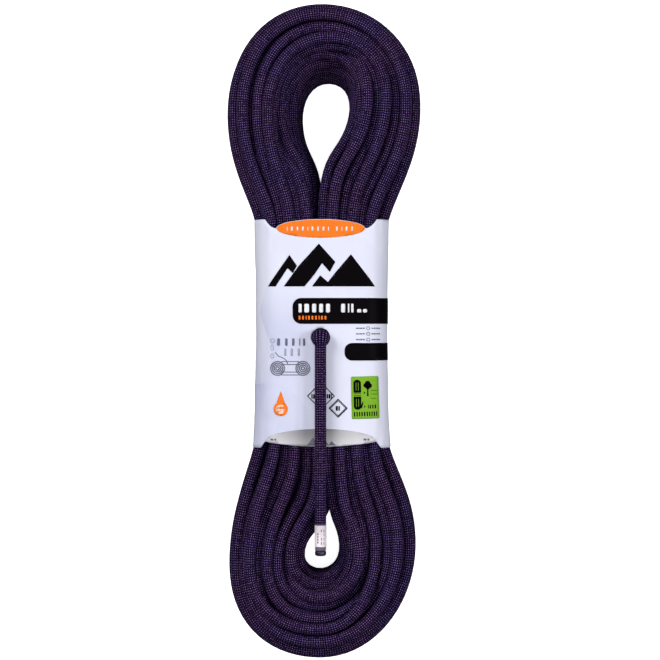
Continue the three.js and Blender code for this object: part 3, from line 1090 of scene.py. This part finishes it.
def film_material():
    maker = Maker("lavender_film", specular_ior_level=0.2)
    where = maker.object_place()
    cells = maker.node("ShaderNodeTexVoronoi", inputs={"Vector": where, "Scale": 24.0}, output="Color")
    shade, lean, _ = maker.parts(cells)
    x, y, _ = maker.parts(where)
    # Painted shade on the crumpled facets: each Voronoi cell gets its own shade and a slope of shade across
    # it, strongest towards the sleeve's lower left.
    facet_shade_reach = maker.smooth(y / MM, 45.0, -10.0) * maker.smooth(x / MM, 25.0, -30.0) * 0.95 + 0.1
    facet_shade_slope = maker.smooth((x * (lean - 0.5) + y * (shade - 0.5)) / MM, -14.0, 14.0)
    facet = (shade * 0.55 + facet_shade_slope * 0.45) * facet_shade_reach
    maker.set(base_color=maker.mix(facet, srgb(225, 227, 244), srgb(192, 196, 226)))
    grain = maker.noise(where, 420.0, 2.0)
    maker.set(roughness=0.38 + grain * 0.16)
    maker.bump(grain + maker.noise(where, 60.0, 3.0) * 2.0, 0.1, 0.25 * MM)
    return maker.material


film = film_material()
sleeve = placed("printed_sleeve", sleeve_sheet(), film, "hank")
drilled(sleeve, HOLE[0], HOLE[1], HOLE_RADIUS)
for polygon in sleeve.data.polygons:
    polygon.use_smooth = True
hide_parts("wrap_sheet")
print("sleeve", len(sleeve.data.polygons), "faces")

# %% [markdown]
# ## Inks
#
# The prints are thin skins of ink on the sheet. Each shape is drawn flat, cut into a fine net so that it
# can bend, laid on the sleeve's surface and given a hair's thickness. The marks are plain shapes of this
# model's own: peaks, bars in place of words, a drop and two lozenges.

# %% Ink maker
INK_LIFT = 0.34
INK_THICKNESS = 0.05
NET = 3.0
SPECKLE = 0.12


class Ink:
    """Shapes of one colour, drawn flat and then laid on a surface."""

    def __init__(self, name):
        self.name = name
        self.mesh = bmesh.new()

    def polygon(self, points):
        return self.mesh.faces.new([self.mesh.verts.new((x, y, 0)) for x, y in points])

    def bar(self, left, right, bottom, top, rounds=(0, 0, 0, 0), steps=6):
        """A bar with its own rounding at the bottom left, bottom right, top right and top left."""
        corners = [(left, bottom, 180), (right, bottom, 270), (right, top, 0), (left, top, 90)]
        points = []
        for (x, y, turn), radius in zip(corners, rounds):
            inward_x = radius if x == left else -radius
            inward_y = radius if y == bottom else -radius
            for k in range(steps + 1 if radius else 1):
                a = math.radians(turn + 90 * k / steps)
                centre = (x + inward_x, y + inward_y)
                points.append((centre[0] + radius * math.cos(a), centre[1] + radius * math.sin(a)))
        return self.polygon(points)

    def disc(self, x, y, radius_x, radius_y=None, steps=32):
        angles = [2 * math.pi * k / steps for k in range(steps)]
        tall = radius_y or radius_x
        return self.polygon([(x + radius_x * math.cos(a), y + tall * math.sin(a)) for a in angles])

    def outline(self, face, width):
        """Keeps only a line of that width along the edge of a shape."""
        self.mesh.normal_update()
        bmesh.ops.inset_region(
            self.mesh, faces=[face], thickness=width, use_even_offset=True, use_boundary=True
        )
        bmesh.ops.delete(self.mesh, geom=[face], context="FACES_ONLY")

    def blocks(self, left, right, y, height, widths, share, gap):
        """A row of upright bars, each filling a share of its place, that stands in for large words."""
        x, k = left, 0
        while x + widths[k % len(widths)] <= right:
            width = widths[k % len(widths)]
            rounding = min(height, width * share) * 0.3
            self.bar(x, x + width * share, y, y + height, [rounding] * 4, 4 if share < 1 else 3)
            x, k = x + width + gap, k + 1

    def dashes(self, left, right, y, height, lengths, gap):
        """A row of little bars that stands in for a line of words, repeated until it is full."""
        self.blocks(left, right, y, height, lengths, 1, gap)

    def laid(self, material, surface, body, lift):
        """Cuts the shapes into a net, lays it on a surface and makes it an object on a body."""
        for axis in (0, 1):
            spots = [vert.co[axis] for vert in self.mesh.verts]
            for spot in np.arange(math.ceil(min(spots) / NET) * NET, max(spots), NET):
                normal = Vector((axis == 0, axis == 1, 0))
                geometry = self.mesh.verts[:] + self.mesh.edges[:] + self.mesh.faces[:]
                bmesh.ops.bisect_plane(self.mesh, geom=geometry, plane_co=normal * spot, plane_no=normal)
        for vert in self.mesh.verts:
            vert.co = surface(vert.co.x, vert.co.y, lift)
        bmesh.ops.recalc_face_normals(self.mesh, faces=self.mesh.faces)
        self.mesh.normal_update()
        for face in self.mesh.faces:
            if face.normal.z < 0 and face.calc_center_median().z > HANK_HEIGHT / 2 * MM:
                face.normal_flip()
        bmesh.ops.solidify(self.mesh, geom=self.mesh.faces[:], thickness=INK_THICKNESS * MM)
        return placed(self.name, self.mesh, material, body)

    def printed(self, colour, lift=0.0):
        """Lays the shapes on the sleeve as a print."""
        made = self.laid(INKS[colour], on_sleeve, "hank", INK_LIFT + lift)
        print(made.name, len(made.data.polygons), "faces")


def ink_material(name, colour, roughness=0.4):
    """Flat printing ink, a touch uneven."""
    maker = Maker(name, specular_ior_level=0.025)
    grain = maker.noise(maker.object_place(), 700.0, 2.0)
    darker = tuple(c * (1 - SPECKLE) for c in colour)
    maker.set(base_color=maker.mix(maker.smooth(grain, 0.4, 0.7), colour, darker))
    maker.set(roughness=roughness + grain * 0.1)
    return maker.material


def silver_material():
    """A metallic ink with painted shade in its middle, beside the tail that lies over it, and towards its
    top edge, and painted highlights at its two ends and along its lower edge.
    """
    maker = Maker("silver_ink", metallic=0.1, roughness=0.5, specular_ior_level=0.15)
    x, y, _ = maker.parts(maker.object_place())
    # Painted shade: darkest a little left of the tail that lies across the lens and darker towards the top
    # edge; the ends and the lower edge carry a painted highlight.
    side = maker.smooth((x / MM - TONGUE_MIDDLE + 6.0).math("ABSOLUTE"), 2.0, 36.0)
    foot = 1.0 - maker.smooth(y / MM, -93.0, -80.0)
    shade = side * 0.7 + foot * 0.4
    maker.set(base_color=maker.mix(shade, srgb(134, 132, 138), srgb(212, 211, 216)))
    return maker.material


INKS = {
    "black": ink_material("black_ink", srgb(7, 4, 7), 0.42),
    "orange": ink_material("orange_ink", srgb(255, 126, 40)),
    "peach": ink_material("peach_ink", srgb(250, 216, 196)),
    "white": ink_material("white_ink", srgb(240, 240, 246)),
    "grey": ink_material("grey_ink", srgb(112, 112, 128)),
    "pale": ink_material("pale_grey_ink", srgb(172, 172, 190)),
    "green": ink_material("green_sticker_paper", srgb(127, 178, 48), 0.42),
    "silver": silver_material(),
}
print(len(INKS), "inks")


# %% Orange lens and drop, black peaks and bars
def dome(x, half, rise):
    """The height of a half ellipse at a distance from its middle."""
    return rise * math.sqrt(max(0, 1 - (x / half) ** 2))


def lens(ink, lower, upper, half):
    """A lens between two edges that are functions of the distance from its middle."""
    xs = np.linspace(-half, half, 40)
    edge = [(x, lower(x)) for x in xs] + [(x, upper(x)) for x in xs[-2:0:-1]]
    ink.polygon([(TONGUE_MIDDLE + x, y) for x, y in edge])


DROP_X = -34.3
ORANGE_HALF = 35.2
orange = Ink("print_orange")
lens(
    orange,
    lambda x: SHOULDER - dome(x, ORANGE_HALF, 7.3),
    lambda x: SHOULDER + dome(x, ORANGE_HALF, TONGUE_RISE - 0.4),
    ORANGE_HALF,
)
orange.blocks(-20.2, 4.6, 8.5, 3.2, [2.1, 2.1, 1.2, 2.1], 0.72, 0.7)
ring = [math.radians(128 + 284 * k / 28) for k in range(29)]
orange.polygon([(DROP_X, -48.2)] + [(DROP_X + 5.5 * math.cos(a), -62.6 + 5.6 * math.sin(a)) for a in ring])
orange.printed("orange", 0.06)

black = Ink("print_black")
black.bar(-24.9, 62, 5.2, 25.8, [6.8, 0, 0, 6.8])
black.bar(16.4, 62, -24.0, -10.0, [6.0, 0, 0, 6.0])
for peaks in (
    [(-45, 35), (-27.5, 60), (-21.5, 51.5), (-24.8, 45.5), (-29, 49.5), (-38.5, 35)],
    [(-32, 35), (-20, 51.5), (-4, 69), (9.0, 54.5), (4.6, 46.5), (-1.5, 53.5), (-8.0, 44), (-15.5, 35)],
    [(-9.5, 35), (-3.0, 43.8), (3.2, 38.5), (9.5, 46.5), (21.5, 60.5), (41, 35)],
):
    black.polygon(peaks)
black.printed("black")

# %% White bars and lozenges
white = Ink("print_white")
white.blocks(-20.2, 10.5, 14.2, 7.0, [3.4, 5.0, 4.4, 4.2, 4.4], 0.74, 1.2)
white.blocks(13.6, 24.8, 14.2, 7.0, [4.4, 1.6, 2.6], 0.74, 1.0)
white.blocks(26.4, 35.4, 14.2, 2.8, [3.9, 3.9], 0.85, 0.7)
white.blocks(-29.5, 5.4, 79.1, 3.4, [1.0, 2.4, 2.0, 2.2], 0.6, 2.2)
white.blocks(9.6, 25.6, 79.1, 3.4, [2.2, 1.0, 2.4, 2.0], 0.6, 2.2)
white.printed("white", 0.12)

lozenges = Ink("print_lozenges")
for x, y, half, line in ((-2.4, -52.2, 11.2, 0.7), (11.3, -61.9, 7.6, 0.7), (11.3, -61.9, 6.2, 0.35)):
    shape = lozenges.polygon([(x, y - half), (x + half, y), (x, y + half), (x - half, y)])
    lozenges.outline(shape, line)
lozenges.dashes(-10.0, -7.0, -54.2, 3.6, [0.9, 1.1], 0.5)
lozenges.dashes(2.3, 6.6, -54.2, 3.6, [1.0, 1.3, 0.8], 0.5)
lozenges.dashes(9.4, 13.4, -63.9, 3.8, [1.6, 1.0], 0.6)
lozenges.printed("black")

# %% Grey drawing of a pack, and small marks
grey = Ink("print_grey")
grey.blocks(-37.0, -12.0, -12.2, 5.8, [4.9, 4.2, 4.4, 1.6, 4.0], 0.42, 1.3)
for x in (-36.9, -16.8):
    for radius in (5.9, 4.5, 3.1, 1.7):
        grey.outline(grey.disc(x, -30.2, radius), 0.8)
for y in (-35.7, -33.4, -27.4, -25.1):
    grey.bar(-34.0, -19.6, y, y + 0.6)
for y in (1.2, -3.2, -7.8):
    grey.dashes(25.6, 33, y, 1.0, [1.4, 0.9, 1.8], 0.4)
    grey.outline(grey.disc(35.2, y + 0.5, 1.5), 0.4)
    grey.dashes(38.2, 46.0, y, 1.0, [1.1, 1.6, 0.8], 0.4)
strap = [(-38.6, -17.5), (-36.0, -20.6), (-32.3, -22.0), (-29.8, -24.0), (-28.9, -26.6)]
for (ax, ay), (bx, by) in zip(strap, strap[1:]):
    way = Vector((bx - ax, by - ay)).normalized() * 0.3
    corners = [(ax, ay, 1), (ax, ay, -1), (bx, by, -1), (bx, by, 1)]
    grey.polygon([(x - way.y * side, y + way.x * side) for x, y, side in corners])
grey.printed("grey")

pale = Ink("print_pale_grey")
pale.blocks(-31.4, -11.4, -20.2, 5.8, [4.0, 4.6, 4.2, 4.2], 0.36, 1.0)
pale.outline(pale.disc(-40.9, -8.2, 1.9), 0.5)
pale.outline(pale.disc(-41.3, -13.6, 1.3, 2.4), 0.4)
pale.outline(pale.disc(-41.2, -20.4, 1.5, 2.0), 0.4)
pale.printed("pale")

drop_disc = Ink("print_drop_disc")
drop_disc.disc(DROP_X, -62.8, 3.7)
drop_disc.printed("peach", 0.12)
drop_marks = Ink("print_drop_marks")
drop_marks.dashes(-37.2, -31.2, -62.4, 1.5, [1.5, 1.0], 0.5)
drop_marks.dashes(-36.8, -31.4, -65.2, 1.5, [1.0, 1.5], 0.5)
drop_marks.printed("orange", 0.18)

# %% Silver lens
silver = Ink("print_silver")
lens(
    silver,
    lambda x: bottom_edge(x + TONGUE_MIDDLE) + 0.25,
    lambda x: sheet_low[1] + 5.4 + dome(x, 44.4, 9.9),
    43.8,
)
silver.printed("silver")

silver_marks = Ink("print_silver_marks")
silver_marks.polygon(
    [(-13.5, -91.4), (-9.0, -85.2), (-5.8, -88.6), (-2.2, -82.8), (3.8, -90.9), (6.0, -88), (9.4, -91.2)]
)
for x in (-39, 35):
    silver_marks.dashes(x - 3.6, x + 3.8, -87.6, 1.6, [2.4, 1.6], 0.7)
silver_marks.printed("grey", 0.06)

# %% [markdown]
# ## The sticker and the seam tape
#
# The green sticker is its own thin piece with rounded corners, set a little askew. Its picture shows a
# hank and a tree. At the back, a clear tape holds the two edges of the sleeve together.


# %% Sticker
STICKER_LOW, STICKER_HIGH = box_mm("recycling_sticker")
STICKER_X, STICKER_Y = (STICKER_LOW + STICKER_HIGH)[:2] / 2
STICKER_TILT = math.radians(1.2)
STICKER_WIDTH, STICKER_HEIGHT = 22.8, 33.8


def on_sticker(x, y, lift):
    """A place on the sticker, measured from its middle, laid on the sleeve."""
    turned_x = STICKER_X + x * math.cos(STICKER_TILT) - y * math.sin(STICKER_TILT)
    turned_y = STICKER_Y + x * math.sin(STICKER_TILT) + y * math.cos(STICKER_TILT)
    return on_sleeve(turned_x, turned_y, lift)


sticker_ink = Ink("green_sticker")
wide, tall = STICKER_WIDTH / 2, STICKER_HEIGHT / 2
sticker_ink.bar(-wide, wide, -tall, tall, [1.2] * 4, 4)
sticker = sticker_ink.laid(INKS["green"], on_sticker, "hank", INK_LIFT + 0.1)

picture = Ink("sticker_print")
picture.outline(picture.bar(-9.6, -3.6, 3.9, 14.3, [0.6, 0.6, 2.9, 2.9], 8), 1.9)
picture.outline(picture.bar(-9.6, -3.6, -9.6, 0.9, [2.9, 2.9, 0.6, 0.6], 8), 1.9)
picture.bar(-7.3, -5.9, 4.8, 12.6, [0.5] * 4, 3)
picture.bar(-7.3, -5.9, -8.0, 0.2, [0.5] * 4, 3)
picture.bar(-9.4, -3.8, 3.0, 3.4)
picture.bar(-9.4, -3.8, 1.6, 2.0)
picture.polygon([(-3.9, -6.6), (-2.4, -3.0), (-1.9, -3.4), (-3.0, -8.2), (-4.6, -8.6)])
for x, y, radius in ((1.7, 11.0, 2.3), (0.2, 9.6, 1.8), (3.3, 9.4, 1.9), (1.8, 8.4, 2.0)):
    picture.disc(x, y, radius, steps=16)
picture.polygon([(1.3, 8.6), (1.0, 1.0), (2.2, 1.0), (2.1, 8.6)])
for x, y in ((-1.5, 3.8), (-1.5, -7.2)):
    picture.polygon([(x, y - 1.0), (x + 1.3, y), (x, y + 1.0)])
for y, right in ((5.4, 10.2), (2.4, 10.0), (-0.9, 8.6)):
    picture.bar(4.2, right, y, y + 0.35)
picture.blocks(1.6, 9.8, -8.8, 3.0, [0.9, 1.7, 1.7, 2.0], 0.62, 0.4)
picture.blocks(-9.6, 10.6, -14.9, 3.7, [1.6, 1.5, 1.5, 1.5], 0.62, 0.45)
picture.laid(INKS["black"], on_sticker, "hank", INK_LIFT + 0.18)
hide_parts("recycling_sticker")
print("sticker", STICKER_WIDTH, "by", STICKER_HEIGHT, "mm")


# %% Seam tape
def tape_material():
    maker = Maker("clear_tape", roughness=0.16, base_color=srgb(226, 222, 200), alpha=0.55)
    grain = maker.noise(maker.object_place(), 130.0, 3.0)
    maker.bump(grain, 0.05, 0.2 * MM)
    return maker.material


def on_seam(x, y, lift):
    """A place on the back, measured from the seam."""
    return on_sleeve(WAIST_X + half_round(y) - (SEAM_X + x - WAIST_X), y, lift)


tape_ink = Ink("seam_tape")
tape_wide = (tape_high[0] - tape_low[0]) / 2
tape_ink.bar(-tape_wide, tape_wide, tape_low[1], tape_high[1])
tape = tape_ink.laid(tape_material(), on_seam, "hank", INK_LIFT)
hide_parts("wrap_seam_tape")
2 * half_round(0) * MM
(sheet_high[1] - sheet_low[1]) * MM
print("sleeve cut", round(2 * half_round(0)), "by", round(sheet_high[1] - sheet_low[1]), "mm")

# %% [markdown]
# ## The rope's ends
#
# A factory finishes each end in the same way. The sheath and the core are fused into a hard tip, a paper
# label goes round the rope, and a clear tube is shrunk over both.


# %% End materials
def tip_material():
    maker = Maker("fused_tip", specular_ior_level=0.6)
    lumps = maker.noise(maker.object_place(), 500.0, 3.0)
    streak = maker.smooth(lumps, 0.4, 0.62)
    maker.set(base_color=maker.mix(streak, srgb(16, 10, 26), srgb(48, 34, 66)))
    maker.set(roughness=0.18 + lumps * 0.3)
    maker.bump(lumps, 0.8, 0.5 * MM)
    return maker.material


def label_material():
    maker = Maker("end_label_paper", roughness=0.45)
    grain = maker.noise(maker.object_place(), 300.0, 2.0)
    maker.set(base_color=maker.mix(grain, srgb(255, 246, 250), srgb(238, 228, 236)))
    return maker.material


def shrink_material():
    maker = Maker("clear_shrink_tube", base_color=srgb(232, 226, 238), alpha=0.08, coat_weight=0.15)
    maker.set(coat_roughness=0.2)
    wave = maker.noise(maker.object_place(), 240.0, 2.0)
    maker.set(roughness=0.34 + wave * 0.12)
    maker.bump(wave, 0.1, 0.2 * MM)
    return maker.material


def core_material():
    """White nylon strands, twisted."""
    maker = Maker("white_core_yarn", roughness=0.6, sheen_weight=0.3)
    x, y, z = maker.parts(maker.object_place())
    twist = ((y / MM * 0.9 + x / MM + z / MM) * 3.2).math("SINE")
    maker.set(base_color=maker.mix(maker.smooth(twist, -1.0, 1.0), srgb(206, 204, 200), srgb(246, 245, 242)))
    maker.bump(twist, 0.3, 0.2 * MM)
    return maker.material


TIP, PAPER, SHRINK = tip_material(), label_material(), shrink_material()


# %% Labels, shrunk tubes and tips
LABEL_RADIUS = NECK_RADIUS + 0.38
TUBE_RADIUS = NECK_RADIUS + 0.74
TIP_PROFILE = [
    (0, 21.3), (3.7, 21.3), (4.3, 21.6), (4.5, 22.6), (4.35, 24.2), (3.8, 25.0), (2.6, 25.35), (1.2, 25.2),
    (0, 25.3),
]


def end_pieces(prefix, body, axis_x, axis_z, neck_y, way):
    """The three pieces on a rope's end. way is -1 where the end points along -Y, and 1 along +Y."""
    label_from, label_to = neck_y + way * 1.1, neck_y + way * 18.0
    tube_from, tube_to = neck_y + way * 0.1, neck_y + way * 20.9
    label = ring_profile(NECK_RADIUS + 0.12, LABEL_RADIUS, label_from, label_to, 0.05 * way)
    tube = ring_profile(NECK_RADIUS + 0.42, TUBE_RADIUS, tube_from, tube_to, 0.12 * way)
    tip = [(r, neck_y + way * d) for r, d in TIP_PROFILE]
    pieces = [
        placed(prefix + "_label", spun(label, axis_x, axis_z, True), PAPER, body),
        placed(prefix + "_tube", spun(tube, axis_x, axis_z, True), SHRINK, body),
        placed(prefix + "_tip", spun(tip, axis_x, axis_z, False), TIP, body),
    ]
    for piece, node in zip(pieces, ("_end_label", "_end_sleeve", "_fused_tip")):
        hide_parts(prefix + node)
    return pieces


tail_end = end_pieces("tail", "tail", HOLE[0], TAIL_AXIS, tube_high[1], -1)
inner_end = end_pieces("inner", "hank", INNER_X, INNER_Z, box_mm("inner_end_sleeve")[0][1], 1)
print("ends of", len(tail_end), "and", len(inner_end), "pieces")


# %% The print on the tail's label
LABEL_MIDDLE = tube_high[1] - 9.5


def on_label(x, y, lift):
    """A place on the tail's label. x runs round it and y along the rope from the label's middle."""
    a = x / LABEL_RADIUS
    out = Vector((math.sin(a), 0, math.cos(a))) * (LABEL_RADIUS + lift)
    return (Vector((HOLE[0], LABEL_MIDDLE + y, TAIL_AXIS)) + out) * MM


label_ink = Ink("label_print")
for k, (y, tall) in enumerate(((-6.8, 2.6), (-3.4, 2.4), (-0.2, 2.6), (3.2, 2.2))):
    bar = label_ink.bar(0.4, 3.2, y, y + tall, [0.4] * 4, 3)
    if k != 2:
        label_ink.outline(bar, 0.6)
for y in (-5.6, -3.4, -1.2, 1.0):
    label_ink.bar(-2.6, -1.6, y, y + 1.5, [0.2] * 4, 3)
label_print = label_ink.laid(INKS["black"], on_label, "tail", 0.02)
print("label print", len(label_print.data.polygons), "faces")

# %% The core's strands, and the two cords' facts
core = core_material()
for name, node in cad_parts.items():
    if name.startswith("core_strand"):
        node.data.materials.clear()
        node.data.materials.append(core)

tuple(tail_points[0] * MM)
ROPE_DIAMETER * MM
tail_points * MM
ROPE_DIAMETER * MM
